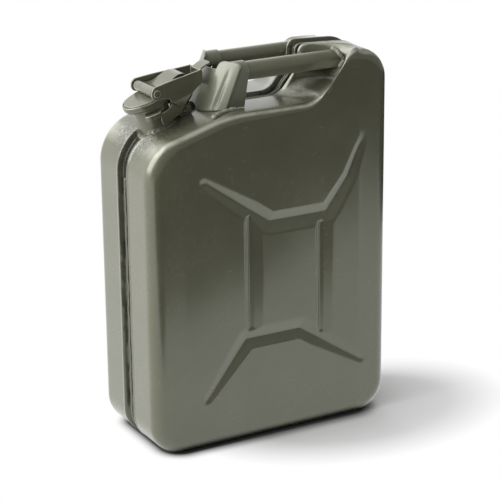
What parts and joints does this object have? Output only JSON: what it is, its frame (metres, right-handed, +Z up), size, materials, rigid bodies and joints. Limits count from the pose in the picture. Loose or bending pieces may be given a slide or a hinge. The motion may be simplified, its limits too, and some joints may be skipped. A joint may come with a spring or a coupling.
{
  "type": "fuel can",
  "caption": "Slim pressed-steel fuel can with a recessed seam, a leaning spout, a cam-lever cap and two rolled carrying handles.",
  "frame": {"origin": "centre of the bounding box on the floor, under the seam", "axes": "+X towards the raised end of the top, spout at -X; -Y is the front face; +Z up"},
  "size_m": [0.224, 0.1, 0.3234],
  "materials": {
    "cap": "semi-gloss olive drab paint",
    "cap_gasket": "matt black rubber",
    "cap_rivet": "semi-gloss olive drab paint",
    "closure_arm": "semi-gloss olive drab paint",
    "front_bracket_weld": "semi-gloss olive drab paint",
    "front_catch": "semi-gloss olive drab paint",
    "front_handle": "semi-gloss olive drab paint",
    "front_handle_weld": "semi-gloss olive drab paint",
    "front_shell": "semi-gloss olive drab paint",
    "handle_bracket": "semi-gloss olive drab paint",
    "hinge_bracket": "semi-gloss olive drab paint",
    "hinge_pin": "semi-gloss olive drab paint",
    "lever": "semi-gloss olive drab paint",
    "lever_pin": "semi-gloss olive drab paint",
    "neck_tube": "semi-gloss olive drab paint",
    "neck_weld": "semi-gloss olive drab paint",
    "rear_bracket_weld": "semi-gloss olive drab paint",
    "rear_catch": "semi-gloss olive drab paint",
    "rear_handle": "semi-gloss olive drab paint",
    "rear_handle_weld": "semi-gloss olive drab paint",
    "rear_shell": "semi-gloss olive drab paint",
    "seam_weld": "semi-gloss olive drab paint",
    "vent_tube": "bare drawn steel"
  },
  "bodies": {
    "can": {"front_bracket_weld": "front_bracket_weld", "front_catch": "front_catch", "front_handle": "front_handle", "front_handle_weld": "front_handle_weld", "front_shell": "front_shell", "handle_bracket": "handle_bracket", "hinge_bracket": "hinge_bracket", "hinge_pin": "hinge_pin", "neck_tube": "neck_tube", "neck_weld": "neck_weld", "rear_bracket_weld": "rear_bracket_weld", "rear_catch": "rear_catch", "rear_handle": "rear_handle", "rear_handle_weld": "rear_handle_weld", "rear_shell": "rear_shell", "seam_weld": "seam_weld", "vent_tube": "vent_tube"},
    "closure": {"closure_arm": "closure_arm", "cap": "cap", "cap_gasket": "cap_gasket", "cap_rivet": "cap_rivet", "lever_pin": "lever_pin"},
    "lever": {"lever": "lever"}
  },
  "joints": [
    {"name": "closure_swing", "type": "hinge", "parent": "can", "child": "closure", "pos_m": [-0.058, 0, 0.2845], "axis": [0, 1, 0], "range_deg": [0, 35]},
    {"name": "lever_turn", "type": "hinge", "parent": "closure", "child": "lever", "pos_m": [-0.08802, 0, 0.30224], "axis": [0, -1, 0], "range_deg": [0, 87.5]}
  ],
  "couplings": [
    {"joint": "lever_turn", "follows": "closure_swing", "ratio": 2.5}
  ]
}
